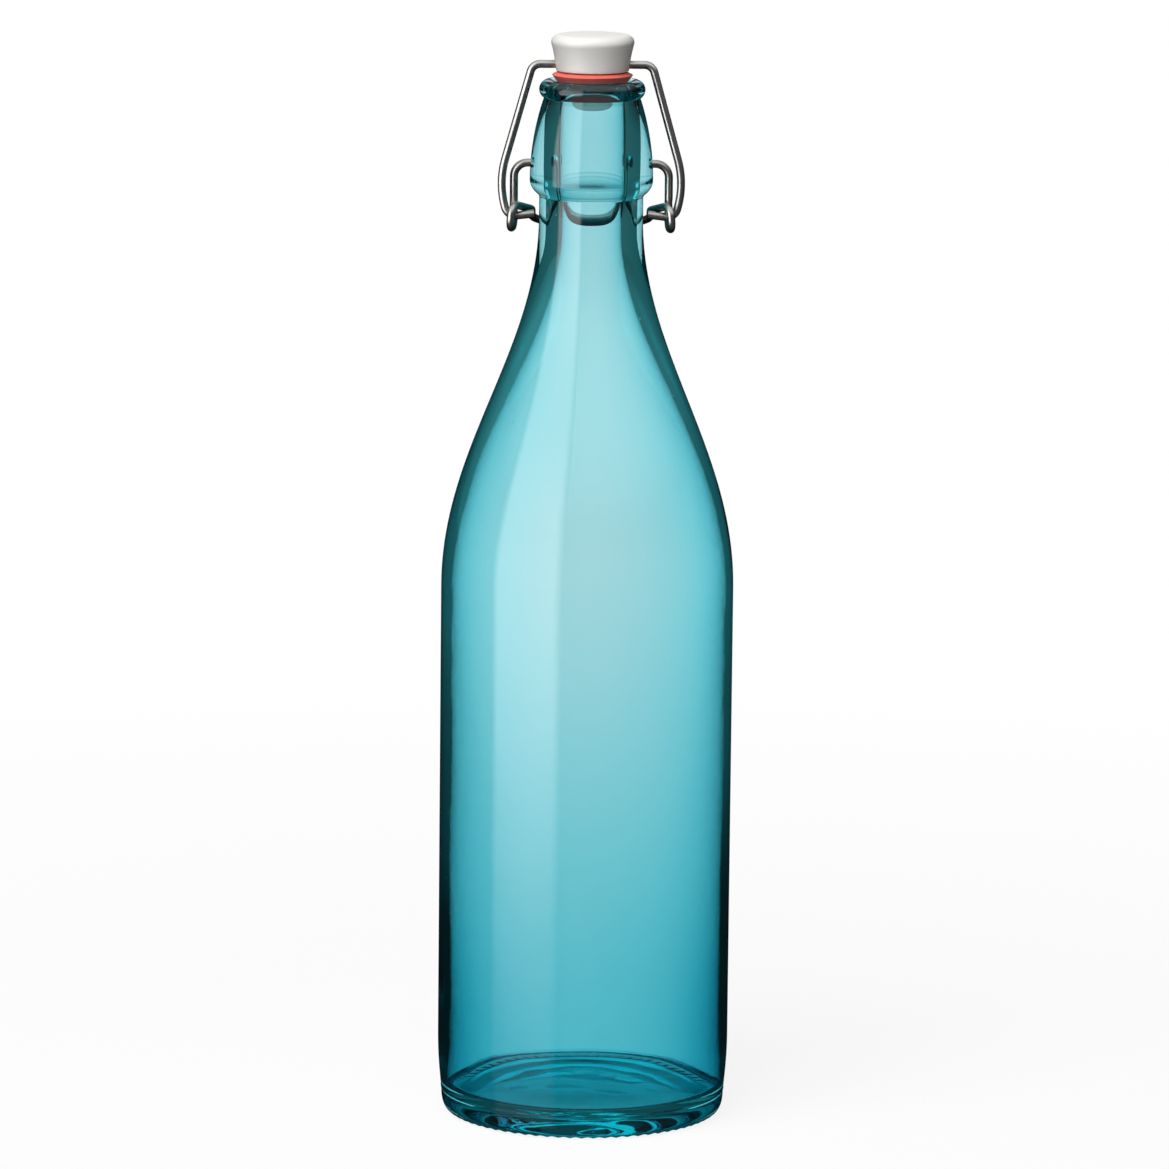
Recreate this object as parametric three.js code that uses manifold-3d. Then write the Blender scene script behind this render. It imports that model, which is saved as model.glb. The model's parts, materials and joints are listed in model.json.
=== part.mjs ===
// Swing-top bottle: a glass bottle, a stopper with its gasket, and the two bent wires that clamp it shut.
// Millimetres, +Z up. It stands on the table at Z = 0 with its axis on the Z axis, and the thumb loop is
// behind the neck, at +Y.
import * as THREE from 'three';
import { mergeVertices } from 'three/addons/utils/BufferGeometryUtils.js';
import Module from 'manifold-3d';

const wasm = await Module();
wasm.setup();

// Bottle body, heights from the table
const bodyDiameter = 86;
const bodyWall = 2.8;
const shoulderHeight = 157.8;
const shoulderRound = 41;
const innerShoulderDrop = 1;
const innerShoulderRound = 42.7;

// Foot of the bottle
const footRingDiameter = 76.8;
const footRingWidth = 2.2;
const heelHeight = 5.9;
const heelDiameter = 83.8;
const heelTaperHeight = 17.3;
const pushUp = 5.6;
const pushUpReach = 29;
const floorHeight = 6.2;
const floorRise = 3.3;
const floorDiameter = 72;
const floorCrown = 18;
const innerHeelHeight = 11.5;

// Neck and mouth, depths measured down from the top of the lip
const mouthHeight = 307.2;
const neckDiameter = 30.4;
const neckDepth = 40.5;
const neckRound = 39.4;
const boreDiameter = 17.4;
const boreDepth = 44.6;
const boreRound = 31.5;
const lipDiameter = 31;
const lipRound = 2.85;
const lipUnderside = -60;
const collarDiameter = 36;
const collarFootDepth = 33.9;
const collarLowDepth = 29.4;
const collarSwell = 2.3;
const collarTopDepth = 28.9;
const collarFlare = 9.2;
const collarLean = 1.9;
const collarLeanDepth = 10.8;

// Wire closure, measured from the axis of the two pivot dimples
const wire = 2.4;
const pivotDepth = 24.5;
const dimpleDepth = 4.4;
const runningGap = 0.3;
const eyePlay = 0.8;
const eyeDrop = 15.5;
const eyeLean = 1;
const eyeCrest = 0.9;
const eyeRoundness = 0.9;
const elbowBend = 4;
const sideGap = 1;
const passGap = 2.8;
const sideStart = 2.5;
const sideRise = 1.6;
const sideBend = 5;
const loopBend = 14;
const bowDip = 5.4;
const bowGap = 3;

// Bail, in its own plane through the eyes and the stopper's cross hole
const bailLipGap = 0.7;
const bailTopBend = 3;
const hookReach = 1.8;
const bailElbowOut = 2.7;
const bailElbowRise = 10;
const bailElbowBend = 26;
const tipGap = 1.4;
const tipRise = 0.9;

// Stopper and gasket, heights from the top of the lip
const stopperDiameter = 24.3;
const stopperFootDiameter = 21.2;
const stopperFootRise = 2.55;
const stopperHeight = 10.85;
const stopperRound = 2.4;
const holeRise = 1.85;
const stemDiameter = 9.8;
const tipDiameter = 11.9;
const tipHeight = 5.05;
const tipRound = 1.6;
const gasketDiameter = 23.7;
const gasketTopDiameter = 20.4;
const gasketShoulder = 0.6;
const gasketEdge = 0.4;
const gasketCone = 4.85;
const gasketConeDiameter = 16.1;
const gasketFoot = 0.8;
const gasketFootDiameter = 14.4;
const seatGap = 0.5;

// Facets
const longCurve = 12;
const midCurve = 8;
const shortCurve = 4;
const bottleSides = 44;
const stopperSides = 36;
const wireSides = 8;
const wireStep = 1.1;

// Sizes that follow from the driving ones
const bodyRadius = bodyDiameter / 2;
const innerRadius = bodyRadius - bodyWall;
const neckRadius = neckDiameter / 2;
const boreRadius = boreDiameter / 2;
const neckHeight = mouthHeight - neckDepth;
const boreFootHeight = mouthHeight - boreDepth;
const pivotHeight = mouthHeight - pivotDepth;
const wireRadius = wire / 2;
const eyeRadius = wire + eyePlay;
const eyeHeight = pivotHeight - eyeDrop;
const sideOffset = neckRadius + wireRadius + sideGap;
const armOffset = sideOffset + wire + passGap;
const stopperFoot = mouthHeight + stopperFootRise;
const holeHeight = stopperFoot + holeRise;
const gasketTop = stopperFoot - runningGap;
const gasketEdgeTop = gasketTop - gasketShoulder;
const gasketEdgeFoot = gasketEdgeTop - gasketEdge;
const gasketConeFoot = gasketEdgeFoot - gasketCone;
const gasketBase = gasketConeFoot - gasketFoot;

const at = (radius, height) => new THREE.Vector2(radius, height);
const round = (from, guide, to, steps) => new THREE.QuadraticBezierCurve(from, guide, to).getPoints(steps);

// Points on a curve that leaves one place towards a guide and reaches another from a second guide
function sweep(from, guideA, guideB, to, steps) {
  return new THREE.CubicBezierCurve(from, guideA, guideB, to).getPoints(steps);
}

// Points on an arc, its angles in degrees from the outward direction
function arc(centre, radius, fromAngle, toAngle, steps) {
  const [from, to] = [fromAngle, toAngle].map(THREE.MathUtils.degToRad);
  return new THREE.EllipseCurve(centre.x, centre.y, radius, radius, from, to).getPoints(steps);
}

// One outline from points and curves that follow each other, without the points that two of them share
function outline(...stretches) {
  const points = stretches.flat();
  return points.filter((point, i) => i === 0 || point.distanceTo(points[i - 1]) > 1e-6);
}

// A closed solid from a geometry: shared corners merged, collapsed triangles left out
function solid(geometry) {
  geometry.deleteAttribute('normal');
  geometry.deleteAttribute('uv');
  const merged = mergeVertices(geometry, 1e-4);
  const corners = merged.index.array;
  const triangles = [];
  for (let i = 0; i < corners.length; i += 3) {
    const [a, b, c] = corners.subarray(i, i + 3);
    if (a !== b && b !== c && c !== a) {
      triangles.push(a, b, c);
    }
  }
  return new wasm.Manifold(new wasm.Mesh({
    numProp: 3,
    vertProperties: Float32Array.from(merged.attributes.position.array),
    triVerts: Uint32Array.from(triangles),
  }));
}

// An outline of radius and height turned about the Z axis
function turned(points, sides) {
  return solid(new THREE.LatheGeometry(points, sides).rotateX(Math.PI / 2));
}

// A round bar along X between two places, at a height above the table
function crossBar(fromX, toX, radius, height, sides) {
  const bar = new THREE.CylinderGeometry(radius, radius, toX - fromX, sides).rotateZ(Math.PI / 2);
  return solid(bar.translate((fromX + toX) / 2, 0, height));
}

// The centre line of a bent wire: straight runs between corners, with a round bend at every inner corner
function bentLine(corners, bends) {
  const path = new THREE.CurvePath();
  let from = corners[0];
  bends.forEach((bend, i) => {
    const corner = corners[i + 1];
    const arriving = corner.clone().sub(corners[i]).normalize();
    const leaving = corners[i + 2].clone().sub(corner).normalize();
    const turn = arriving.angleTo(leaving);
    const reach = bend * Math.tan(turn / 2);
    const handle = bend * (4 / 3) * Math.tan(turn / 4);
    const start = corner.clone().addScaledVector(arriving, -reach);
    const end = corner.clone().addScaledVector(leaving, reach);
    const startGuide = start.clone().addScaledVector(arriving, handle);
    const endGuide = end.clone().addScaledVector(leaving, -handle);
    path.add(new THREE.LineCurve3(from, start));
    path.add(new THREE.CubicBezierCurve3(start, startGuide, endGuide, end));
    from = end;
  });
  path.add(new THREE.LineCurve3(from, corners.at(-1)));
  return path;
}

// A round wire along a line that is the same on both sides of the bottle, given by half of its corners,
// from one end to the last one before the middle
function wireForm(half, halfBends) {
  const mirrored = half.map((corner) => new THREE.Vector3(-corner.x, corner.y, corner.z)).reverse();
  const path = bentLine([...half, ...mirrored], [...halfBends, ...halfBends.toReversed()]);
  const section = new THREE.Shape().absarc(0, 0, wireRadius, 0, 2 * Math.PI);
  const steps = Math.round(path.getLength() / wireStep);
  const settings = { extrudePath: path, steps, curveSegments: wireSides / 2, bevelEnabled: false };
  return solid(new THREE.ExtrudeGeometry(section, settings));
}

// Glass bottle: foot ring, heel, body, shoulder, neck, pivot collar, lip, seat, bore and inner floor
function glassBottle() {
  const ringOut = footRingDiameter / 2;
  const ringIn = ringOut - footRingWidth;
  const heelRadius = heelDiameter / 2;
  const collarRadius = collarDiameter / 2;
  const collarFoot = at(neckRadius, mouthHeight - collarFootDepth);
  const collarLow = at(collarRadius, mouthHeight - collarLowDepth);
  const collarTop = at(collarRadius, mouthHeight - collarTopDepth);
  const lipCentre = at(lipDiameter / 2 - lipRound, mouthHeight - lipRound);
  const underside = THREE.MathUtils.degToRad(lipUnderside);
  const groove = at(lipRound * Math.cos(underside), lipRound * Math.sin(underside)).add(lipCentre);

  // The seat lies parallel to the gasket's cone, a seat gap away, and meets the lip's round and the bore
  const cone = at((gasketDiameter - gasketConeDiameter) / 2, gasketCone).normalize();
  const outward = at(cone.y, -cone.x);
  const seatPoint = at(gasketConeDiameter / 2, gasketConeFoot).addScaledVector(outward, seatGap);
  const lipToSeat = lipCentre.clone().sub(seatPoint).dot(outward);
  const seatAngle = THREE.MathUtils.radToDeg(Math.atan2(cone.x, -cone.y) - Math.acos(lipToSeat / lipRound));
  const seatFoot = at(boreRadius, seatPoint.y + ((boreRadius - seatPoint.x) * cone.y) / cone.x);

  const floorEdge = at(floorDiameter / 2, floorHeight);
  const floorTop = floorHeight + floorRise;
  const profile = outline(
    round(at(0, pushUp), at(pushUpReach, pushUp), at(ringIn, 0), shortCurve),
    round(at(ringOut, 0), at(heelRadius, 0), at(heelRadius, heelHeight), shortCurve),
    at(bodyRadius, heelTaperHeight),
    sweep(
      at(bodyRadius, shoulderHeight), at(bodyRadius, shoulderHeight + shoulderRound),
      at(neckRadius, neckHeight - neckRound), at(neckRadius, neckHeight), longCurve,
    ),
    round(collarFoot, at(collarRadius, collarFoot.y + collarSwell), collarLow, shortCurve),
    sweep(
      collarTop, at(collarRadius, collarTop.y + collarFlare),
      at(groove.x + collarLean, mouthHeight - collarLeanDepth), groove, midCurve,
    ),
    arc(lipCentre, lipRound, lipUnderside, seatAngle, midCurve),
    seatFoot,
    sweep(
      at(boreRadius, boreFootHeight), at(boreRadius, boreFootHeight - boreRound),
      at(innerRadius, shoulderHeight - innerShoulderDrop + innerShoulderRound),
      at(innerRadius, shoulderHeight - innerShoulderDrop), longCurve,
    ),
    round(at(innerRadius, innerHeelHeight), at(innerRadius, floorHeight), floorEdge, shortCurve),
    round(floorEdge, at(floorCrown, floorTop), at(0, floorTop), shortCurve),
  );
  const dimpleRadius = wireRadius + runningGap;
  const dimpleFrom = collarRadius - dimpleDepth;
  const dimpleTo = collarRadius + dimpleDepth;
  return turned(profile, bottleSides)
    .subtract(crossBar(dimpleFrom, dimpleTo, dimpleRadius, pivotHeight, wireSides))
    .subtract(crossBar(-dimpleTo, -dimpleFrom, dimpleRadius, pivotHeight, wireSides));
}

// Lever wire: from a pivot dimple down the arm, once round the eye, and back round the neck as a thumb loop
function leverWire() {
  const eyeBend = eyeRoundness * eyeRadius;
  const lipReach = Math.hypot(lipDiameter / 2 - lipRound, pivotDepth - lipRound) + lipRound;
  const bowDrop = eyeDrop + bowDip;
  const bowBack = Math.sqrt((lipReach + bowGap + wireRadius) ** 2 - bowDrop ** 2);
  const corner = (x, y, drop) => new THREE.Vector3(x, y, pivotHeight - drop);
  const half = [
    corner(collarDiameter / 2 - dimpleDepth + runningGap, 0, 0),
    corner(armOffset, 0, 0),
    corner(armOffset, 0, eyeDrop + eyeRadius),
    corner(armOffset + eyeLean, -2 * eyeRadius, eyeDrop + eyeRadius),
    corner(armOffset + eyeLean / 2, -2 * eyeRadius, eyeDrop - eyeRadius - eyeCrest),
    corner(sideOffset, sideStart, eyeDrop - sideRise),
    corner(sideOffset, bowBack, bowDrop),
  ];
  return wireForm(half, [elbowBend, eyeBend, eyeBend, eyeBend, sideBend, loopBend]);
}

// Bail wire: through the stopper, down both sides of the neck and hooked through the lever's eyes
function bailWire() {
  const lean = Math.atan2(eyeRadius, holeHeight - eyeHeight);
  const length = Math.hypot(eyeRadius, holeHeight - eyeHeight);
  const hookOffset = armOffset + hookReach;
  const hookBend = wire + eyePlay;
  const corner = (x, rise) => new THREE.Vector3(
    x, rise * Math.sin(lean) - eyeRadius, eyeHeight + rise * Math.cos(lean),
  );
  const half = [
    corner(neckRadius + tipGap, tipRise),
    corner(hookOffset, 0),
    corner(hookOffset + bailElbowOut, bailElbowRise),
    corner(lipDiameter / 2 + wireRadius + bailLipGap, length),
  ];
  return wireForm(half, [hookBend, bailElbowBend, bailTopBend]);
}

// Stopper: a tapered head with a cross hole for the bail, on a stem whose swollen tip keeps the gasket on
function stopper() {
  const footRadius = stopperFootDiameter / 2;
  const rimRadius = stopperDiameter / 2;
  const stemRadius = stemDiameter / 2;
  const tipRadius = tipDiameter / 2;
  const top = stopperFoot + stopperHeight;
  const tipTop = gasketBase - runningGap;
  const tipFoot = tipTop - tipHeight;
  const profile = outline(
    at(0, tipFoot),
    arc(at(tipRadius - tipRound, tipFoot + tipRound), tipRound, -90, 0, shortCurve),
    at(stemRadius, tipTop),
    at(stemRadius, stopperFoot),
    at(footRadius, stopperFoot),
    arc(at(rimRadius - stopperRound, top - stopperRound), stopperRound, 0, 90, shortCurve),
    at(0, top),
  );
  const hole = crossBar(-rimRadius - wire, rimRadius + wire, wireRadius + runningGap, holeHeight, wireSides);
  return turned(profile, stopperSides).subtract(hole);
}

// Gasket: a rubber ring on the stem, with a sharp edge above the lip and a cone that sits in the mouth
function gasket() {
  const innerTop = at(stemDiameter / 2 + runningGap, gasketTop);
  const innerFoot = at(innerTop.x, gasketBase);
  const profile = outline(
    innerFoot,
    at(gasketFootDiameter / 2, gasketBase),
    at(gasketConeDiameter / 2, gasketConeFoot),
    at(gasketDiameter / 2, gasketEdgeFoot),
    at(gasketDiameter / 2, gasketEdgeTop),
    at(gasketTopDiameter / 2, gasketTop),
    innerTop,
    innerFoot,
  );
  return turned(profile, stopperSides);
}

const glass = { color: 0x3fa9b8, roughness: 0.05, metalness: 0, transparent: true, opacity: 0.55 };
const steel = { color: 0x8d8b86, roughness: 0.3, metalness: 1 };
const whitePlastic = { color: 0xf1f0ed, roughness: 0.35, metalness: 0 };
const redRubber = { color: 0xd9503f, roughness: 0.6, metalness: 0 };

const bottle = new THREE.Group();

function addPart(name, body, finish) {
  const { vertProperties, triVerts } = body.getMesh();
  const geometry = new THREE.BufferGeometry();
  geometry.setAttribute('position', new THREE.BufferAttribute(vertProperties, 3));
  geometry.setIndex(new THREE.BufferAttribute(triVerts, 1));
  geometry.computeVertexNormals();
  const mesh = new THREE.Mesh(geometry, new THREE.MeshStandardMaterial(finish));
  mesh.name = name;
  bottle.add(mesh);
}

addPart('glass_bottle', glassBottle(), glass);
addPart('lever_wire', leverWire(), steel);
addPart('bail_wire', bailWire(), steel);
addPart('stopper', stopper(), whitePlastic);
addPart('gasket', gasket(), redRubber);

export default bottle;
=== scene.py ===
import json
import math

import bmesh
import bpy
from mathutils import Matrix, Quaternion, Vector, geometry, noise


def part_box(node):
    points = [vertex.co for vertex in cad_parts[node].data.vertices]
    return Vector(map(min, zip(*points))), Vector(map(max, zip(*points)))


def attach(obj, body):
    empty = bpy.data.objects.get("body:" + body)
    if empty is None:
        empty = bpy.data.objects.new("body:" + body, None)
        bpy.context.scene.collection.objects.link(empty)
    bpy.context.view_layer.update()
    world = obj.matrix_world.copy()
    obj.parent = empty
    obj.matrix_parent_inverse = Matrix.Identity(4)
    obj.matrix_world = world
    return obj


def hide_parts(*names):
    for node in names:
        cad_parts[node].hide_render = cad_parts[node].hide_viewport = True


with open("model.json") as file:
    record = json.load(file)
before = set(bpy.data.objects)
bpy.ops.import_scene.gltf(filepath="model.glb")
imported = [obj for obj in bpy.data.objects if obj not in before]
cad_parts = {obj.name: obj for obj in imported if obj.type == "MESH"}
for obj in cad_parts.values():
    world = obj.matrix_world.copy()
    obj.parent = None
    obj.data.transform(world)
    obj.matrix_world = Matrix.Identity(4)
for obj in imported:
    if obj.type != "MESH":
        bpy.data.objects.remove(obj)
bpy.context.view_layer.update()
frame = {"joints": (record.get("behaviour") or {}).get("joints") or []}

MM = 0.001
TURN = 2 * math.pi

# Places that the frame gives
BODY_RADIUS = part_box("glass_bottle")[1].x
MOUTH_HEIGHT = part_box("glass_bottle")[1].z
STOPPER_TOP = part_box("stopper")[1].z
STOPPER_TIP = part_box("stopper")[0].z
GASKET_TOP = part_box("gasket")[1].z
GASKET_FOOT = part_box("gasket")[0].z
joint_places = {joint["name"]: Vector(joint["pos_m"]) for joint in frame["joints"]}
PIVOT = joint_places["lever_swing"]
EYE = joint_places["bail_swing"]
CROSS_HOLE = joint_places["stopper_tilt"]

# Bottle
WALL = 2.8 * MM
SHOULDER_HEIGHT = 157.8 * MM
SHOULDER_ROUND = 41 * MM
INNER_SHOULDER_HEIGHT = 156.8 * MM
INNER_SHOULDER_ROUND = 42.7 * MM
RING_IN = 36.2 * MM
RING_OUT = 38.4 * MM
PUSH_UP = 5.6 * MM
PUSH_UP_REACH = 29 * MM
HEEL_RADIUS = 41.9 * MM
HEEL_HEIGHT = 5.9 * MM
HEEL_TAPER_HEIGHT = 17.3 * MM
HEEL_TAPER_ROUND = 6 * MM
HEEL_SEAM_HEIGHT = 6.9 * MM
HEEL_SEAM_WIDTH = 0.9 * MM
HEEL_SEAM_RISE = 0.08 * MM
FLOOR_RADIUS = 37.5 * MM
FLOOR_HEIGHT = 8.5 * MM
FLOOR_CROWN = 18 * MM
FLOOR_RISE = 2 * MM
INNER_HEEL_HEIGHT = 10.8 * MM
NECK_RADIUS = 15.2 * MM
NECK_HEIGHT = 266.7 * MM
NECK_ROUND = 39.4 * MM
BORE_RADIUS = 8.7 * MM
BORE_SWELL = 0.6 * MM
BORE_SWELL_HEIGHTS = (272 * MM, 302.6 * MM)
BORE_FOOT_HEIGHT = 262.6 * MM
BORE_ROUND = 31.5 * MM
COLLAR_RADIUS = 18 * MM
COLLAR_FOOT_HEIGHT = 273.3 * MM
COLLAR_SWELL = 2.3 * MM
COLLAR_LOW_HEIGHT = 277.8 * MM
COLLAR_TOP_HEIGHT = 278.3 * MM
COLLAR_FLARE = 9.2 * MM
COLLAR_LEAN = 1.9 * MM
COLLAR_LEAN_HEIGHT = 296.4 * MM
COLLAR_FILLET = 0.5 * MM
LIP_RADIUS = 15.5 * MM
LIP_ROUND = 2.85 * MM
LIP_UNDERSIDE = -60
LIP_SEAT = 120.8
SEAT_FOOT_HEIGHT = 303.62 * MM
SEAT_FILLET = 0.5 * MM
DIMPLE_RADIUS = 1.5 * MM
DIMPLE_DEPTH = 4.4 * MM
SCALLOPS = 72
SCALLOP_DEPTH = 0.6 * MM
SCALLOP_INNER_EDGE = 35.2 * MM
SCALLOP_OUTER_EDGE = 40.6 * MM
WAVE_HEIGHT = 0.35 * MM
WAVE_AROUND = 32 * MM
WAVE_ALONG = 60 * MM
WAVE_SETTLE = 12 * MM
INNER_SHIFT = 0.4 * MM
FLOOR_WAVE_HEIGHT = 0.4 * MM
FLOOR_WAVE = 11 * MM
BOTTLE_STEPS = 288

# Stopper and gasket
STOPPER_RADIUS = 12.15 * MM
STOPPER_FOOT_RADIUS = 10.6 * MM
STOPPER_FOOT_HEIGHT = 309.75 * MM
STOPPER_ROUND = 2.4 * MM
STOPPER_FOOT_ROUND = 0.35 * MM
STOPPER_WAIST = 0.35 * MM
STOPPER_CROWN = 0.25 * MM
STEM_RADIUS = 4.9 * MM
TIP_RADIUS = 5.95 * MM
TIP_ROUND = 1.6 * MM
TIP_FILLET = 0.3 * MM
TIP_GAP = 0.3 * MM
HOLE_RADIUS = 1.5 * MM
GASKET_RADIUS = 11.85 * MM
GASKET_TOP_RADIUS = 10.2 * MM
GASKET_BORE_RADIUS = 5.2 * MM
GASKET_EDGE_HEIGHT = 308.65 * MM
GASKET_EDGE = 0.2 * MM
GASKET_CONE_RADIUS = 8.05 * MM
GASKET_CONE_HEIGHT = 303.6 * MM
GASKET_FOOT_RADIUS = 7.2 * MM
PLUG_STEPS = 144

# Wires
WIRE_RADIUS = 1.2 * MM
WIRE_TIP_ROUND = 0.7 * MM
WIRE_ROUND_STEPS = 6
WIRE_BEND_STEPS = 12
PIVOT_TIP = 13.9 * MM
ARM_OFFSET = 22.6 * MM
EYE_RADIUS = 3.2 * MM
EYE_LEAN = 1 * MM
EYE_CREST = 0.9 * MM
EYE_BEND = 2.88 * MM
ELBOW_BEND = 4 * MM
SIDE_OFFSET = 17.4 * MM
SIDE_START = 2.5 * MM
SIDE_RISE = 1.6 * MM
SIDE_BEND = 5 * MM
LOOP_BEND = 14 * MM
BOW_DIP = 5.4 * MM
BOW_BACK = 24.4 * MM
BAIL_TIP = 16.6 * MM
BAIL_TIP_RISE = 0.9 * MM
HOOK_OFFSET = 24.4 * MM
HOOK_BEND = 3.2 * MM
BAIL_ELBOW_OUT = 2.7 * MM
BAIL_ELBOW_RISE = 10 * MM
BAIL_ELBOW_BEND = 26 * MM
BAIL_TOP_OFFSET = 17.4 * MM
BAIL_TOP_BEND = 3 * MM
NICK_DROP = 11.5 * MM
NICK_WIDTH = 0.5 * MM
NICK_DEPTH = 0.12

# Colours, linear
LACQUER = (0.679, 0.9096, 0.9375, 1)
CLEAR = (0.97, 0.985, 0.985, 1)
CLEAR_SEED = (0.5, 0.6, 0.62, 1)
STEEL_BRIGHT = (0.52, 0.51, 0.49, 1)
STEEL_DULL = (0.36, 0.35, 0.335, 1)
WHITE_PLASTIC = (0.86, 0.85, 0.82, 1)
WHITE_SHADE = (0.78, 0.76, 0.71, 1)
CORAL = (0.8, 0.15, 0.115, 1)
CORAL_SHADE = (0.64, 0.1, 0.075, 1)

# Lacquer coat, in layers of the colour above; a painted shade band under the collar or the lip has a height,
# a reach and a share
GLASS_IOR = 1.52
COAT_AT_FOOT = 3.3
COAT_AT_SHOULDER = 1.05
COAT_FROM = -30 * MM
COAT_TO = 170 * MM
COAT_EXTRA_AT_NECK = 0.3
NECK_COAT_FROM = 235 * MM
NECK_COAT_TO = 270 * MM
# Painted shade: the glass colour is multiplied by this colour in the bands under the collar and under the
# lip
PAINTED_SHADE_COLOUR = (0.42, 0.68, 0.7)
PAINTED_SHADE_BANDS = (
    (275.6 * MM, 2.4 * MM, 0.75),
    (274.1 * MM, 0.45 * MM, 1),
    (277.3 * MM, 0.45 * MM, 1),
    (301.3 * MM, 1.1 * MM, 1),
)
SLANT_COAT = 1.1
SLANT_COAT_AT_FOOT = 1.9
SLANT_FOOT_HEIGHTS = (20 * MM, 75 * MM)
SLANT_GAIN = 1.2
THIN_LIMIT = 0.6
GAIN_FADE_HEIGHTS = (200 * MM, 250 * MM)
SLANT_LIMIT = 0.43
SLANT_POWER = -2.1
# Light turned back inside the glass is multiplied by this colour once per turn: partly the extra passes
# through the coat, partly painted shade for the dark edges
TURNED_TINT_AND_SHADE = (0.05, 0.75, 0.8, 1)
MOST_TURNS = 4

# Studio
CAMERA_PLACE = Vector((-0.0008, -2.239, 0.541))
CAMERA_AIM = Vector((-0.0008, 0, 0.158))
CAMERA_LENS = 237.6
CAMERA_ROLL = 0.59
MOST_BOUNCES = 32
FLOOR_SIZE = 40
FLOOR_WHITE = 0.88
FLOOR_SHADOW_REACH = (0.2, 0.7)
FLOOR_WHITE_THROUGH = 0.95
# Painted shadow under the bottle: the floor's glow for plain rays at the ring's inner edge and in the middle
PAINTED_SHADOW_EDGE_GLOW = 0.5
PAINTED_SHADOW_MIDDLE_GLOW = 0.14
TURNED_LEFT_GLOW = 0.23
TURNED_RIGHT_GLOW = 0.12
TURNED_FLOOR_GLOW = 0.15
# Painted shade near the bottle for rays turned inside the glass: the floor's glow beside the bottle, within
# TURNED_NEAR_REACH
TURNED_NEAR_SHADE_GLOW = 0.02
TURNED_BEHIND_GLOW = 0.11
TURNED_NEAR_REACH = (0.3, 0.8)
TURNED_UNDER_GLOW = 0.13
TURNED_BACKDROP_GLOW = 0.16
TURNED_OVERHEAD_GLOW = 0.3
TURNED_OVERHEAD_RISE = (0.4, 0.9)
TURNED_SIDES = (-0.7, 0.7)
BACKDROP_HALF_WIDTH = 0.14
BACKDROP_EDGE = 0.14
STEEP_GLOW = 0.45
STEEP_RISE = (0.15, 0.55)
BACK_GLOW = 0.004
HIGH_BACK_GLOW = 0.08
BACK_RISE = (0.0, 0.3)
FRONT_GLOW = 0.08
BACK_TO_FRONT = (0.3, -0.3)
OVERHEAD_GLOW = 1.3
OVERHEAD_RISE = (0.2, 0.75)
OVERHEAD_BACK_SHARE = 0.45
OVERHEAD_BACK_TO_FRONT = (0.5, -0.1)
BEYOND_RISE = (0.08, 0.2)
AMBIENT = 0.14
PAPER = (0.35, 0.35, 0.35, 1)
SEEN_PAPER = (0.95, 0.95, 0.95, 1)
SOFTBOX_GLOW = 3.2
SOFTBOX_DISTANCE = 1.1
SOFTBOX_DEGREES_LEFT = (18, 80)
SOFTBOX_HEIGHTS = (-0.7, 1.5)
SOFTBOX_EDGE = 0.12
SOFTBOX_LOW_FADE = (-0.24, 0.0)
SOFTBOX_LOW_SHARE = 0.08
SOFTBOX_HIGH_FADE = (0.5, 1.1)
SOFTBOX_HIGH_SHARE = 0.55
LAMP_PLACE = Vector((-0.48, -0.88, 1.56))
LAMP_SIZE = 1.2
LAMP_ENERGY = 32


def at(radius, height):
    return Vector((radius, 0, height))


def straight(start, end, steps):
    return [start.lerp(end, i / steps) for i in range(steps + 1)]


def sweep(start, guide_a, guide_b, end, steps):
    return geometry.interpolate_bezier(start, guide_a, guide_b, end, steps + 1)


def rounded(start, corner, end, steps):
    return sweep(start, start.lerp(corner, 2 / 3), end.lerp(corner, 2 / 3), end, steps)


def arc(centre, radius, from_angle, to_angle, steps):
    angles = [math.radians(from_angle + (to_angle - from_angle) * i / steps) for i in range(steps + 1)]
    return [centre + at(math.cos(angle), math.sin(angle)) * radius for angle in angles]


def fillet(before, corner, after, size, steps):
    """A corner between two straight lines, rounded off over size on each side."""
    start = corner + (before - corner).normalized() * size
    end = corner + (after - corner).normalized() * size
    return rounded(start, corner, end, steps)


def outline(*stretches):
    """One line of points from stretches that follow each other, with each shared point taken once."""
    points = [point for stretch in stretches for point in stretch]
    return [point for i, point in enumerate(points) if i == 0 or (point - points[i - 1]).length > 1e-7]


def spin(bm, points, steps, material_index=0):
    """An outline turned about the bottle's axis by a quarter, which is mirrored to make the whole turn."""
    older = {*bm.verts, *bm.edges, *bm.faces}
    verts = [bm.verts.new(point) for point in points]
    edges = [bm.edges.new(pair) for pair in zip(verts, verts[1:])]
    quarter = {"angle": TURN / 4, "steps": steps // 4}
    bmesh.ops.spin(bm, geom=verts + edges, cent=(0, 0, 0), axis=(0, 0, 1), **quarter)
    for axis in ("X", "Y"):
        newer = [part for part in (*bm.verts, *bm.edges, *bm.faces) if part not in older]
        bmesh.ops.mirror(bm, geom=newer, matrix=Matrix(), merge_dist=1e-7, axis=axis)
    for face in set(bm.faces) - older:
        face.material_index = material_index


def close(bm):
    bmesh.ops.remove_doubles(bm, verts=bm.verts, dist=1e-6)
    bmesh.ops.recalc_face_normals(bm, faces=bm.faces)


def shade(bm, sharp_from=40):
    """Smooth faces, with a crease at every edge sharper than an angle in degrees."""
    for face in bm.faces:
        face.smooth = True
    for edge in bm.edges:
        edge.smooth = edge.calc_face_angle(0) < math.radians(sharp_from)


def mesh_object(name, bm):
    mesh = bpy.data.meshes.new(name)
    bm.to_mesh(mesh)
    bm.free()
    made = bpy.data.objects.new(name, mesh)
    bpy.context.scene.collection.objects.link(made)
    return made


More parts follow.
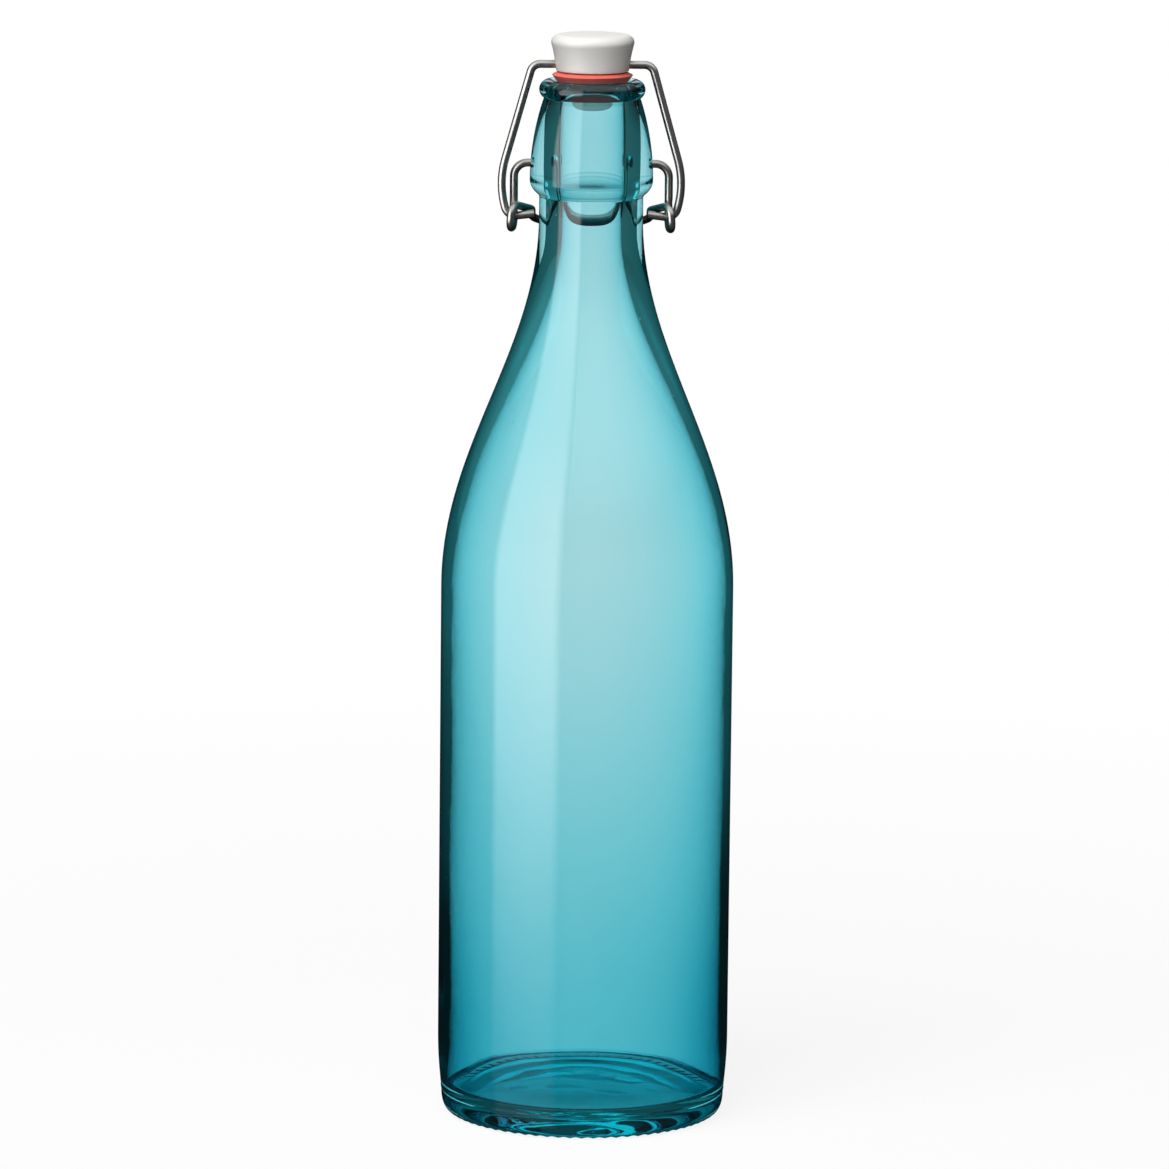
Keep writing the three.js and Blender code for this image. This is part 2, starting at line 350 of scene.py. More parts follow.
def cross_bar(name, from_x, to_x, radius, height):
    """A round bar along X, as a cutter."""
    bm = bmesh.new()
    turned = Matrix.Translation(((from_x + to_x) / 2, 0, height)) @ Matrix.Rotation(TURN / 4, 4, "Y")
    bmesh.ops.create_cone(
        bm, cap_ends=True, segments=32, radius1=radius, radius2=radius, depth=to_x - from_x, matrix=turned,
    )
    return mesh_object(name, bm)


def cut(target, cutters):
    """The target with the cutters taken out of it."""
    for cutter in cutters:
        modifier = target.modifiers.new("cut", "BOOLEAN")
        modifier.operation = "DIFFERENCE"
        modifier.solver = "MANIFOLD"
        modifier.object = cutter
    depsgraph = bpy.context.evaluated_depsgraph_get()
    mesh = bpy.data.meshes.new_from_object(target.evaluated_get(depsgraph))
    target.modifiers.clear()
    target.data = mesh
    for cutter in cutters:
        bpy.data.objects.remove(cutter)
    bm = bmesh.new()
    bm.from_mesh(mesh)
    shade(bm)
    bm.to_mesh(mesh)
    bm.free()


def dress(piece, materials, node, body):
    """The piece's finishes, the node that it stands for and the body that it moves with."""
    piece.data.materials.clear()
    for material in materials:
        piece.data.materials.append(material)
    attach(piece, body)
    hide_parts(node)


# Bottle
def outer_outline():
    heel_end = at(BODY_RADIUS, HEEL_TAPER_HEIGHT)
    heel_start = at(HEEL_RADIUS, HEEL_HEIGHT)
    taper = (heel_end - heel_start).normalized()
    seam_at = heel_start + taper * (HEEL_SEAM_HEIGHT - HEEL_HEIGHT)
    seam_out = at(taper.z, -taper.x) * HEEL_SEAM_RISE
    seam_half = taper * HEEL_SEAM_WIDTH / 2
    body_start = heel_end + at(0, HEEL_TAPER_ROUND)
    collar_foot = at(NECK_RADIUS, COLLAR_FOOT_HEIGHT)
    collar_swell = at(COLLAR_RADIUS, COLLAR_FOOT_HEIGHT + COLLAR_SWELL)
    collar_bend = fillet(at(NECK_RADIUS, NECK_HEIGHT), collar_foot, collar_swell, COLLAR_FILLET, 4)
    collar_low = at(COLLAR_RADIUS, COLLAR_LOW_HEIGHT)
    collar_top = at(COLLAR_RADIUS, COLLAR_TOP_HEIGHT)
    lip_centre = at(LIP_RADIUS - LIP_ROUND, MOUTH_HEIGHT - LIP_ROUND)
    lip = arc(lip_centre, LIP_ROUND, LIP_UNDERSIDE, LIP_SEAT, 20)
    return outline(
        rounded(at(0, PUSH_UP), at(PUSH_UP_REACH, PUSH_UP), at(RING_IN, 0), 20),
        straight(at(RING_IN, 0), at(RING_OUT, 0), 3),
        rounded(at(RING_OUT, 0), at(HEEL_RADIUS, 0), heel_start, 14),
        [seam_at - seam_half * 1.3, seam_at - seam_half, seam_at - seam_half / 3 + seam_out],
        [seam_at + seam_half / 3 + seam_out, seam_at + seam_half, seam_at + seam_half * 1.3],
        rounded(heel_end - taper * HEEL_TAPER_ROUND, heel_end, body_start, 6),
        straight(body_start, at(BODY_RADIUS, SHOULDER_HEIGHT), 10),
        sweep(
            at(BODY_RADIUS, SHOULDER_HEIGHT), at(BODY_RADIUS, SHOULDER_HEIGHT + SHOULDER_ROUND),
            at(NECK_RADIUS, NECK_HEIGHT - NECK_ROUND), at(NECK_RADIUS, NECK_HEIGHT), 40,
        ),
        collar_bend,
        rounded(collar_bend[-1], collar_swell, collar_low, 14),
        sweep(
            collar_top, collar_top + at(0, COLLAR_FLARE),
            at(lip[0].x + COLLAR_LEAN, COLLAR_LEAN_HEIGHT), lip[0], 18,
        ),
        lip,
    )


def inner_outline(lip_end):
    seat_foot = at(BORE_RADIUS, SEAT_FOOT_HEIGHT)
    bore_foot = at(BORE_RADIUS, BORE_FOOT_HEIGHT)
    inner_radius = BODY_RADIUS - WALL
    inner_shoulder = at(inner_radius, INNER_SHOULDER_HEIGHT)
    heel_top = at(inner_radius, INNER_HEEL_HEIGHT)
    floor_edge = at(FLOOR_RADIUS, FLOOR_HEIGHT)
    floor_top = FLOOR_HEIGHT + FLOOR_RISE
    seat_bend = fillet(lip_end, seat_foot, bore_foot, SEAT_FILLET, 4)
    swell_foot, swell_top = [at(BORE_RADIUS, height) for height in BORE_SWELL_HEIGHTS]
    swell_pull = at(BORE_SWELL * 4 / 3, 0)
    return outline(
        straight(lip_end, seat_bend[0], 3),
        seat_bend,
        sweep(swell_top, swell_top + swell_pull, swell_foot + swell_pull, swell_foot, 14),
        [bore_foot],
        sweep(
            bore_foot, bore_foot - at(0, BORE_ROUND),
            inner_shoulder + at(0, INNER_SHOULDER_ROUND), inner_shoulder, 36,
        ),
        straight(inner_shoulder, heel_top, 44),
        rounded(heel_top, at(inner_radius, FLOOR_HEIGHT), floor_edge, 12),
        rounded(floor_edge, at(FLOOR_CROWN, floor_top), at(0, floor_top), 12),
    )


def scallop_foot(bm):
    """Notches round the ring that the bottle stands on, with the lands between them left on the table."""
    reach = (SCALLOP_OUTER_EDGE - SCALLOP_INNER_EDGE) / 2
    for vert in bm.verts:
        radius = vert.co.xy.length
        if vert.co.z < HEEL_HEIGHT and SCALLOP_INNER_EDGE < radius < SCALLOP_OUTER_EDGE:
            fade = 1 - ((radius - SCALLOP_INNER_EDGE) / reach - 1) ** 2
            turn = math.atan2(vert.co.y, vert.co.x)
            vert.co.z += SCALLOP_DEPTH * fade * (1 - math.cos(SCALLOPS * turn)) / 2


def wave_inside(bm):
    """The slow swells that blowing leaves on the floor and the inner wall, which stands a little aside."""
    for vert in bm.verts:
        radius = vert.co.xy.length
        inside = 0 < radius < BODY_RADIUS - WALL * 0.9 and FLOOR_HEIGHT < vert.co.z < SEAT_FOOT_HEIGHT
        if inside and any(face.material_index == 1 for face in vert.link_faces):
            place = Vector((vert.co.x / WAVE_AROUND, vert.co.y / WAVE_AROUND, vert.co.z / WAVE_ALONG))
            settle = min(1, (SEAT_FOOT_HEIGHT - vert.co.z) / WAVE_SETTLE, radius / FLOOR_RADIUS)
            swell = WAVE_HEIGHT * settle * noise.noise(place)
            vert.co.xy *= 1 + swell / radius
            vert.co.x += INNER_SHIFT * settle
        if radius < FLOOR_RADIUS and abs(vert.co.z - FLOOR_HEIGHT) < 2 * FLOOR_RISE:
            place = Vector((vert.co.x / FLOOR_WAVE, vert.co.y / FLOOR_WAVE, 0))
            vert.co.z += FLOOR_WAVE_HEIGHT * (1 - radius / FLOOR_RADIUS) ** 0.5 * noise.noise(place)


def make_bottle():
    bm = bmesh.new()
    outer = outer_outline()
    spin(bm, outer, BOTTLE_STEPS, 0)
    spin(bm, inner_outline(outer[-1]), BOTTLE_STEPS, 1)
    close(bm)
    scallop_foot(bm)
    wave_inside(bm)
    bottle = mesh_object("bottle_glass", bm)
    cut(bottle, [
        cross_bar("dimple", side * COLLAR_RADIUS - DIMPLE_DEPTH, side * COLLAR_RADIUS + DIMPLE_DEPTH,
                  DIMPLE_RADIUS, PIVOT.z)
        for side in (-1, 1)
    ])
    return bottle


# Stopper and gasket
def make_stopper():
    rim_height = STOPPER_TOP - STOPPER_ROUND - STOPPER_CROWN
    rim_centre = at(STOPPER_RADIUS - STOPPER_ROUND, rim_height)
    foot = at(STOPPER_FOOT_RADIUS, STOPPER_FOOT_HEIGHT)
    foot_bend = fillet(at(STEM_RADIUS, STOPPER_FOOT_HEIGHT), foot, rim_centre + at(STOPPER_ROUND, 0),
                       STOPPER_FOOT_ROUND, 4)
    side_middle = foot_bend[-1].lerp(at(STOPPER_RADIUS, rim_height), 0.5) - at(STOPPER_WAIST, 0)
    tip_top = GASKET_FOOT - TIP_GAP
    crown_edge = rim_centre + at(0, STOPPER_ROUND)
    points = outline(
        [at(0, STOPPER_TIP)],
        arc(at(TIP_RADIUS - TIP_ROUND, STOPPER_TIP + TIP_ROUND), TIP_ROUND, -90, 0, 8),
        fillet(at(TIP_RADIUS, STOPPER_TIP + TIP_ROUND), at(TIP_RADIUS, tip_top), at(STEM_RADIUS, tip_top),
               TIP_FILLET, 4),
        straight(at(STEM_RADIUS, tip_top), at(STEM_RADIUS, STOPPER_FOOT_HEIGHT), 4),
        foot_bend,
        rounded(foot_bend[-1], side_middle, at(STOPPER_RADIUS, rim_height), 10),
        arc(rim_centre, STOPPER_ROUND, 0, 90, 10),
        rounded(crown_edge, at(0, STOPPER_TOP), at(0, STOPPER_TOP), 8),
    )
    bm = bmesh.new()
    spin(bm, points, PLUG_STEPS)
    close(bm)
    shade(bm)
    stopper = mesh_object("white_stopper", bm)
    cut(stopper, [cross_bar("hole", -2 * STOPPER_RADIUS, 2 * STOPPER_RADIUS, HOLE_RADIUS, CROSS_HOLE.z)])
    return stopper


def make_gasket():
    top_in = at(GASKET_BORE_RADIUS, GASKET_TOP)
    top_out = at(GASKET_TOP_RADIUS, GASKET_TOP)
    edge = at(GASKET_RADIUS, GASKET_EDGE_HEIGHT)
    cone_foot = at(GASKET_CONE_RADIUS, GASKET_CONE_HEIGHT)
    foot_out = at(GASKET_FOOT_RADIUS, GASKET_FOOT)
    foot_in = at(GASKET_BORE_RADIUS, GASKET_FOOT)
    points = outline(
        [foot_in],
        fillet(foot_in, foot_out, cone_foot, GASKET_EDGE, 3),
        fillet(foot_out, cone_foot, edge, GASKET_EDGE, 3),
        fillet(cone_foot, edge, top_out, GASKET_EDGE, 4),
        fillet(edge, top_out, top_in, GASKET_EDGE, 3),
        [top_in, foot_in],
    )
    bm = bmesh.new()
    spin(bm, points, PLUG_STEPS)
    close(bm)
    shade(bm)
    return mesh_object("red_gasket", bm)


# Wires
def bend_knots(corners, bends):
    """Points with their handles for a curve of straight runs, with a round bend at every inner corner."""
    knots = [(corners[0], corners[0], corners[0].lerp(corners[1], 0.1))]
    for before, corner, after, bend in zip(corners, corners[1:], corners[2:], bends):
        arriving = (corner - before).normalized()
        leaving = (after - corner).normalized()
        turn = arriving.angle(leaving)
        start = corner - arriving * bend * math.tan(turn / 2)
        end = corner + leaving * bend * math.tan(turn / 2)
        handle = bend * (4 / 3) * math.tan(turn / 4)
        knots.append((start, start - arriving * handle / 3, start + arriving * handle))
        knots.append((end, end - leaving * handle, end + leaving * handle / 3))
    knots.append((corners[-1], corners[-1].lerp(corners[-2], 0.1), corners[-1]))
    return knots


def round_curve(name, knots):
    """A curve as thick as the wire."""
    line = bpy.data.curves.new(name, "CURVE")
    line.dimensions = "3D"
    line.bevel_depth = WIRE_RADIUS
    line.bevel_resolution = WIRE_ROUND_STEPS
    line.resolution_u = WIRE_BEND_STEPS
    line.use_fill_caps = True
    spline = line.splines.new("BEZIER")
    spline.bezier_points.add(len(knots) - 1)
    for point, (place, left, right) in zip(spline.bezier_points, knots):
        point.handle_left_type = "FREE"
        point.handle_right_type = "FREE"
        point.co = place
        point.handle_left = left
        point.handle_right = right
    drawn = bpy.data.objects.new(name, line)
    bpy.context.scene.collection.objects.link(drawn)
    return drawn


def bent_wire(name, half, half_bends):
    """A round wire, alike on both sides of the bottle, with straight runs and a bend at each corner."""
    mirrored = [Vector((-corner.x, corner.y, corner.z)) for corner in reversed(half)]
    corners = [*half, *mirrored]
    bends = [*half_bends, *reversed(half_bends)]
    drawn = round_curve(name, bend_knots(corners, bends))
    bm = bmesh.new()
    bm.from_mesh(bpy.data.meshes.new_from_object(drawn))
    bpy.data.objects.remove(drawn)
    close(bm)
    tips = [face for face in bm.faces if len(face.verts) > 4]
    rims = list({edge for tip in tips for edge in tip.edges})
    bmesh.ops.bevel(
        bm, geom=rims, offset=WIRE_TIP_ROUND, segments=5, profile=0.5, affect="EDGES", material=-1,
    )
    close(bm)
    return bm


def make_lever():
    def corner(x, y, drop):
        return Vector((x, y, PIVOT.z - drop))

    eye_drop = PIVOT.z - EYE.z
    half = [
        corner(PIVOT_TIP, 0, 0),
        corner(ARM_OFFSET, 0, 0),
        corner(ARM_OFFSET, 0, eye_drop + EYE_RADIUS),
        corner(ARM_OFFSET + EYE_LEAN, -2 * EYE_RADIUS, eye_drop + EYE_RADIUS),
        corner(ARM_OFFSET + EYE_LEAN / 2, -2 * EYE_RADIUS, eye_drop - EYE_RADIUS - EYE_CREST),
        corner(SIDE_OFFSET, SIDE_START, eye_drop - SIDE_RISE),
        corner(SIDE_OFFSET, BOW_BACK, eye_drop + BOW_DIP),
    ]
    bm = bent_wire("lever", half, [ELBOW_BEND, EYE_BEND, EYE_BEND, EYE_BEND, SIDE_BEND, LOOP_BEND])
    arm = Vector((ARM_OFFSET, 0, PIVOT.z - NICK_DROP))
    for vert in bm.verts:
        away = vert.co - arm
        if abs(away.z) < NICK_WIDTH and away.xy.length < 2 * WIRE_RADIUS and away.y < 0:
            vert.co.xy -= away.xy * NICK_DEPTH
    shade(bm)
    return mesh_object("lever_steel", bm)


def make_bail():
    rise = (CROSS_HOLE - EYE).normalized()

    def corner(x, along):
        return Vector((x, 0, 0)) + EYE + rise * along

    half = [
        corner(BAIL_TIP, BAIL_TIP_RISE),
        corner(HOOK_OFFSET, 0),
        corner(HOOK_OFFSET + BAIL_ELBOW_OUT, BAIL_ELBOW_RISE),
        corner(BAIL_TOP_OFFSET, (CROSS_HOLE - EYE).length),
    ]
    bm = bent_wire("bail", half, [HOOK_BEND, BAIL_ELBOW_BEND, BAIL_TOP_BEND])
    shade(bm)
    return mesh_object("bail_steel", bm)


# Node helpers
def add_node(tree, kind, inputs=None, **settings):
    """A node with its settings, and each input linked to a socket or set to a value."""
    made = tree.nodes.new(kind)
    for name, value in settings.items():
        setattr(made, name, value)
    for name, value in (inputs or {}).items():
        if isinstance(value, bpy.types.NodeSocket):
            tree.links.new(value, made.inputs[name])
        else:
            made.inputs[name].default_value = value
    return made


def math_node(tree, operation, *values, clamp=False):
    inputs = dict(enumerate(values))
    return add_node(tree, "ShaderNodeMath", inputs, operation=operation, use_clamp=clamp).outputs[0]


def ramp(tree, value, from_low, from_high, to_low, to_high, shape="LINEAR"):
    inputs = {
        "Value": value, "From Min": from_low, "From Max": from_high, "To Min": to_low, "To Max": to_high,
    }
    return add_node(tree, "ShaderNodeMapRange", inputs, interpolation_type=shape).outputs["Result"]


def weigh(tree, *pairs):
    """The sum of some values, each times its mask."""
    total = 0.0
    for mask, value in pairs:
        total = math_node(tree, "MULTIPLY_ADD", mask, value, total)
    return total


def blend(tree, factor, first, second):
    made = add_node(tree, "ShaderNodeMix", {"Factor": factor}, data_type="RGBA")
    for socket, value in ((made.inputs[6], first), (made.inputs[7], second)):
        if isinstance(value, bpy.types.NodeSocket):
            tree.links.new(value, socket)
        else:
            socket.default_value = value
    return made.outputs[2]


def product(tree, first, second):
    """Two colours or two places, multiplied part by part."""
    return add_node(tree, "ShaderNodeVectorMath", {0: first, 1: second}, operation="MULTIPLY").outputs[0]


def layers(tree, colour, count):
    """A colour seen through a number of layers of it."""
    return add_node(tree, "ShaderNodeGamma", {"Color": colour, "Gamma": count}).outputs[0]


def split_axes(tree, place):
    return add_node(tree, "ShaderNodeSeparateXYZ", {0: place}).outputs


def new_group(name, inputs, outputs):
    group = bpy.data.node_groups.new(name, "ShaderNodeTree")
    for socket_name, kind, value in inputs:
        socket = group.interface.new_socket(socket_name, in_out="INPUT", socket_type=kind)
        if value is not None:
            socket.default_value = value
    for socket_name, kind in outputs:
        group.interface.new_socket(socket_name, in_out="OUTPUT", socket_type=kind)
    return group, group.nodes.new("NodeGroupInput").outputs, group.nodes.new("NodeGroupOutput").inputs


def use_group(tree, group, inputs):
    return add_node(tree, "ShaderNodeGroup", inputs, node_tree=group).outputs


def new_material(name):
    material = bpy.data.materials.new(name)
    material.use_nodes = True
    tree = material.node_tree
    shader = tree.nodes["Principled BSDF"]
    place = tree.nodes.new("ShaderNodeTexCoord").outputs["Object"]
    return material, tree, shader, place


def bare_material(name):
    """A material with no shader yet, for the floor and the softbox."""
    material = bpy.data.materials.new(name)
    material.use_nodes = True
    tree = material.node_tree
    tree.nodes.clear()
    place = tree.nodes.new("ShaderNodeTexCoord").outputs["Object"]
    return material, tree, split_axes(tree, place)


def show(tree, shader):
    result = tree.nodes.new("ShaderNodeOutputMaterial")
    tree.links.new(shader.outputs[0], result.inputs["Surface"])


def bump(tree, shader, height, distance, strength=1):
    inputs = {"Height": height, "Distance": distance, "Strength": strength}
    made = add_node(tree, "ShaderNodeBump", inputs)
    tree.links.new(made.outputs["Normal"], shader.inputs["Normal"])


# Shared effects
def unevenness_group():
    """A slow change around 1, by an amount, with waves of a size in metres."""
    inputs = [
        ("Place", "NodeSocketVector", None),
        ("Size", "NodeSocketFloat", 0.02),
        ("Amount", "NodeSocketFloat", 0.1),
        ("Stretch", "NodeSocketFloat", 1.0),
    ]
    group, given, result = new_group("unevenness", inputs, [("Factor", "NodeSocketFloat")])
    squeeze = math_node(group, "DIVIDE", 1.0, given["Stretch"])
    stretch = add_node(group, "ShaderNodeCombineXYZ", {"X": 1.0, "Y": 1.0, "Z": squeeze}).outputs[0]
    place = product(group, given["Place"], stretch)
    scale = math_node(group, "DIVIDE", 1.0, given["Size"])
    waves = add_node(group, "ShaderNodeTexNoise", {"Vector": place, "Scale": scale, "Detail": 2.0})
    swing = math_node(group, "MULTIPLY_ADD", waves.outputs[0], 2.0, -1.0)
    group.links.new(math_node(group, "MULTIPLY_ADD", swing, given["Amount"], 1.0), result["Factor"])
    return group


def specks_group():
    """Small round specks, one in some of the cells of a size in metres."""
    inputs = [
        ("Place", "NodeSocketVector", None),
        ("Cell", "NodeSocketFloat", 0.006),
        ("Radius", "NodeSocketFloat", 0.05),
        ("Share", "NodeSocketFloat", 0.5),
    ]
    group, given, result = new_group("specks", inputs, [("Mask", "NodeSocketFloat")])
    scale = math_node(group, "DIVIDE", 1.0, given["Cell"])
    cells = add_node(group, "ShaderNodeTexVoronoi", {"Vector": given["Place"], "Scale": scale})
    tone = add_node(group, "ShaderNodeSeparateColor", {0: cells.outputs["Color"]}).outputs[0]
    chosen = math_node(group, "LESS_THAN", tone, given["Share"])
    near = ramp(group, cells.outputs["Distance"], given["Radius"], 0.0, 0.0, 1.0, "SMOOTHSTEP")
    group.links.new(math_node(group, "MULTIPLY", near, chosen), result["Mask"])
    return group


unevenness = unevenness_group()
specks = specks_group()


# Finishes
def coat_thickness(tree, place, height):
    """The coat in layers, thickest at the foot, with a little more at the neck and slow patches."""
    low = ramp(tree, height, COAT_FROM, COAT_TO, COAT_AT_FOOT, COAT_AT_SHOULDER, "SMOOTHSTEP")
    high = ramp(tree, height, NECK_COAT_FROM, NECK_COAT_TO, 0.0, COAT_EXTRA_AT_NECK)
    patchy = use_group(tree, unevenness, {"Place": place, "Size": 0.03, "Amount": 0.1, "Stretch": 4.0})
    return math_node(tree, "MULTIPLY", math_node(tree, "ADD", low, high), patchy["Factor"])


def painted_shade_mask(tree, height):
    """Painted shade bands under the collar and under the lip, where the glass colour is darkened: how much
    of the painted shade each height gets.
    """
    banded_shade = 0.0
    for band_height, reach, share in PAINTED_SHADE_BANDS:
        away = math_node(tree, "ABSOLUTE", math_node(tree, "SUBTRACT", height, band_height))
        band = ramp(tree, away, 0.0, reach, share, 0.0, "SMOOTHSTEP")
        banded_shade = math_node(tree, "MAXIMUM", banded_shade, band)
    return banded_shade


def slant_effects(tree, coat, height):
    """How much more of the coat is seen at a slant, by the angle inside the glass on the way in and out, and
    how much light the clear walls bring back where the coat is thin."""
    facing = add_node(tree, "ShaderNodeLayerWeight", {"Blend": 0.5}).outputs["Facing"]
    leaving = tree.nodes.new("ShaderNodeNewGeometry").outputs["Backfacing"]
    cosine = math_node(tree, "SUBTRACT", 1.0, facing)
    sine_squared = math_node(tree, "SUBTRACT", 1.0, math_node(tree, "MULTIPLY", cosine, cosine))
    bent = 1 / GLASS_IOR ** 2
    share = math_node(tree, "MULTIPLY_ADD", leaving, 1 - bent, bent)
    slant = math_node(tree, "MINIMUM", math_node(tree, "MULTIPLY", sine_squared, share), SLANT_LIMIT)
    factor = math_node(tree, "POWER", math_node(tree, "SUBTRACT", 1.0, slant), SLANT_POWER)
    thin = math_node(tree, "MINIMUM", math_node(tree, "DIVIDE", slant, coat), THIN_LIMIT)
    most = ramp(tree, height, *GAIN_FADE_HEIGHTS, SLANT_GAIN, 0.0)
    gain = math_node(tree, "MULTIPLY_ADD", math_node(tree, "MULTIPLY", thin, thin), most, 1.0)
    return factor, gain


def finish_glass(shader):
    shader.inputs["Roughness"].default_value = 0.0
    shader.inputs["IOR"].default_value = GLASS_IOR
    shader.inputs["Transmission Weight"].default_value = 1.0


def lacquered_glass():
    """Clear glass under a teal lacquer, thicker towards the foot and darker where it is seen at a slant,
    with painted shade bands under the collar and under the lip, and light turned back inside the glass
    darkened, partly as painted shade.
    """
    material, tree, shader, place = new_material("teal_lacquered_glass")
    height = split_axes(tree, place)["Z"]
    coat = coat_thickness(tree, place, height)
    factor, gain = slant_effects(tree, coat, height)
    slant_coat = ramp(tree, height, *SLANT_FOOT_HEIGHTS, SLANT_COAT_AT_FOOT, SLANT_COAT, "SMOOTHSTEP")
    depth = math_node(tree, "MULTIPLY_ADD", math_node(tree, "SUBTRACT", factor, 1.0), slant_coat, coat)
    coated = layers(tree, LACQUER, depth)
    tint = add_node(tree, "ShaderNodeVectorMath", {0: coated, "Scale": gain}, operation="SCALE").outputs[0]
    # Painted shade under the collar and under the lip
    tint = blend(tree, painted_shade_mask(tree, height), tint, product(tree, tint, PAINTED_SHADE_COLOUR))
    # Light turned back inside the glass is darkened, partly for the extra passes through the coat and partly
    # as painted shade
    reflections = tree.nodes.new("ShaderNodeLightPath").outputs["Glossy Depth"]
    turns = math_node(tree, "MINIMUM", reflections, MOST_TURNS)
    tint = product(tree, tint, layers(tree, TURNED_TINT_AND_SHADE, turns))
    seeds = use_group(tree, specks, {"Place": place, "Cell": 0.007, "Radius": 0.055, "Share": 0.6})["Mask"]
    tree.links.new(blend(tree, seeds, tint, layers(tree, tint, 3.0)), shader.inputs["Base Color"])
    ripple = use_group(tree, unevenness, {"Place": place, "Size": 0.012, "Amount": 0.5, "Stretch": 2.0})
    bump(tree, shader, math_node(tree, "ADD", ripple["Factor"], seeds), 0.00006)
    finish_glass(shader)
    return material


def clear_glass():
    """The bare inner wall."""
    material, tree, shader, place = new_material("clear_inner_glass")
    seeds = use_group(tree, specks, {"Place": place, "Cell": 0.008, "Radius": 0.05, "Share": 0.5})["Mask"]
    tree.links.new(blend(tree, seeds, CLEAR, CLEAR_SEED), shader.inputs["Base Color"])
    ripple = use_group(tree, unevenness, {"Place": place, "Size": 0.01, "Amount": 0.5, "Stretch": 3.0})
    bump(tree, shader, ripple["Factor"], 0.0001)
    finish_glass(shader)
    return material


def drawn_steel():
    material, tree, shader, place = new_material("drawn_steel_wire")
    dull = use_group(tree, unevenness, {"Place": place, "Size": 0.008, "Amount": 0.7})["Factor"]
    marks = use_group(tree, unevenness, {"Place": place, "Size": 0.0004, "Amount": 1.0})["Factor"]
    tarnish = ramp(tree, dull, 0.7, 1.4, 0.0, 1.0)
    tree.links.new(blend(tree, tarnish, STEEL_BRIGHT, STEEL_DULL), shader.inputs["Base Color"])
    tree.links.new(ramp(tree, dull, 0.5, 1.5, 0.24, 0.34), shader.inputs["Roughness"])
    bump(tree, shader, marks, 0.00001, 0.05)
    shader.inputs["Metallic"].default_value = 1.0
    return material


def white_moulding():
    material, tree, shader, place = new_material("white_moulded_stopper")
    cloud = use_group(tree, unevenness, {"Place": place, "Size": 0.006, "Amount": 0.8})["Factor"]
    grain = use_group(tree, unevenness, {"Place": place, "Size": 0.0009, "Amount": 1.0})["Factor"]
    shade_share = ramp(tree, cloud, 0.8, 1.6, 0.0, 0.5)
    tree.links.new(blend(tree, shade_share, WHITE_PLASTIC, WHITE_SHADE), shader.inputs["Base Color"])
    tree.links.new(ramp(tree, cloud, 0.4, 1.6, 0.32, 0.44), shader.inputs["Roughness"])
    bump(tree, shader, grain, 0.00002, 0.6)
    return material


def red_rubber():
    material, tree, shader, place = new_material("coral_rubber")
    cloud = use_group(tree, unevenness, {"Place": place, "Size": 0.003, "Amount": 0.8})["Factor"]
    grain = use_group(tree, unevenness, {"Place": place, "Size": 0.0005, "Amount": 1.0})["Factor"]
    shade_share = ramp(tree, cloud, 0.8, 1.6, 0.0, 0.6)
    tree.links.new(blend(tree, shade_share, CORAL, CORAL_SHADE), shader.inputs["Base Color"])
    tree.links.new(ramp(tree, grain, 0.4, 1.6, 0.42, 0.6), shader.inputs["Roughness"])
    bump(tree, shader, grain, 0.00002, 0.6)
    return material


# Studio
def ray_kinds(tree):
    """Masks for camera rays, rays straight through glass, rays turned back inside glass, and reflections."""
    light = tree.nodes.new("ShaderNodeLightPath").outputs
    bounced = math_node(tree, "MINIMUM", light["Glossy Depth"], 1.0)
    turned = math_node(tree, "MULTIPLY", light["Is Transmission Ray"], bounced)
    through = math_node(tree, "SUBTRACT", light["Is Transmission Ray"], turned)
    mirrored = math_node(tree, "SUBTRACT", light["Is Glossy Ray"], light["Is Transmission Ray"], clamp=True)
    return light["Is Camera Ray"], through, turned, mirrored


def backdrop_mask(tree, aside, ahead):
    """Directions behind the bottle, by how far they lead aside for each metre ahead."""
    ahead = math_node(tree, "MAXIMUM", ahead, 1e-4)
    slope = math_node(tree, "DIVIDE", math_node(tree, "ABSOLUTE", aside), ahead)
    edge = BACKDROP_HALF_WIDTH + BACKDROP_EDGE
    return ramp(tree, slope, BACKDROP_HALF_WIDTH, edge, 1.0, 0.0, "SMOOTHSTEP")


def turned_glow(tree, way, backdrop):
    """What more is seen by light that was turned back inside the glass."""
    sides = ramp(tree, way["X"], *TURNED_SIDES, TURNED_LEFT_GLOW, TURNED_RIGHT_GLOW)
    behind = math_node(tree, "MULTIPLY", backdrop, TURNED_BACKDROP_GLOW)
    above = ramp(tree, way["Z"], *TURNED_OVERHEAD_RISE, 0.0, TURNED_OVERHEAD_GLOW)
    return math_node(tree, "MAXIMUM", math_node(tree, "MAXIMUM", sides, behind), above)


def studio_glow(tree, way, backdrop):
    """What reflections see: a dim room that is lighter overhead, and the backdrop above the floor."""
    back = ramp(tree, way["Z"], *BACK_RISE, BACK_GLOW, HIGH_BACK_GLOW, "SMOOTHSTEP")
    around = ramp(tree, way["Y"], *BACK_TO_FRONT, back, FRONT_GLOW, "SMOOTHSTEP")
    above = ramp(tree, way["Z"], *OVERHEAD_RISE, 0.0, OVERHEAD_GLOW, "SMOOTHSTEP")
    share = ramp(tree, way["Y"], *OVERHEAD_BACK_TO_FRONT, OVERHEAD_BACK_SHARE, 1.0, "SMOOTHSTEP")
    overhead = math_node(tree, "MULTIPLY", above, share)
    beyond = math_node(tree, "MULTIPLY", backdrop, ramp(tree, way["Z"], *BEYOND_RISE, 0.0, 1.0))
    return math_node(tree, "MAXIMUM", math_node(tree, "MAXIMUM", around, overhead), beyond)


